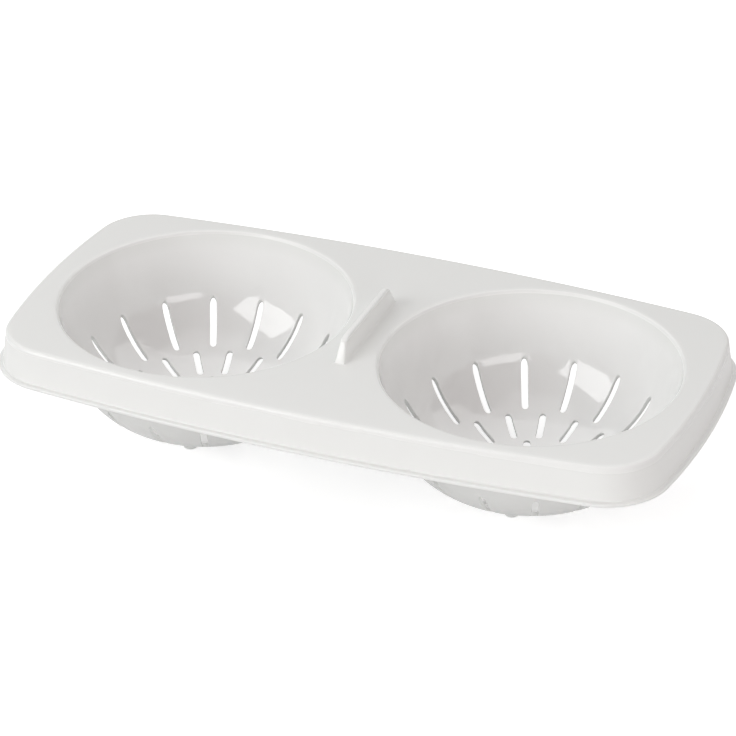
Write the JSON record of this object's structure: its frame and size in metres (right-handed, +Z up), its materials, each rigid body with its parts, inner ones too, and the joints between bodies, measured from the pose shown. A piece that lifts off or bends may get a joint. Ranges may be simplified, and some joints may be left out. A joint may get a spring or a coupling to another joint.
{
  "type": "egg poaching tray",
  "caption": "Shallow white plastic tray with a turned-down skirt and lip, round slotted egg bowls hanging below the deck and a low lift rib between them.",
  "frame": {"origin": "on the table under the feet, midway between the two bowls", "axes": "+X along the length through both bowl centres, +Y across the depth, +Z up out of the bowls"},
  "size_m": [0.2022, 0.1012, 0.0471],
  "materials": {
    "white_polypropylene": "satin"
  },
  "bodies": {
    "root": {"tray_deck": "white_polypropylene", "left_bowl": "white_polypropylene", "right_bowl": "white_polypropylene", "lift_rib": "white_polypropylene"}
  },
  "joints": []
}
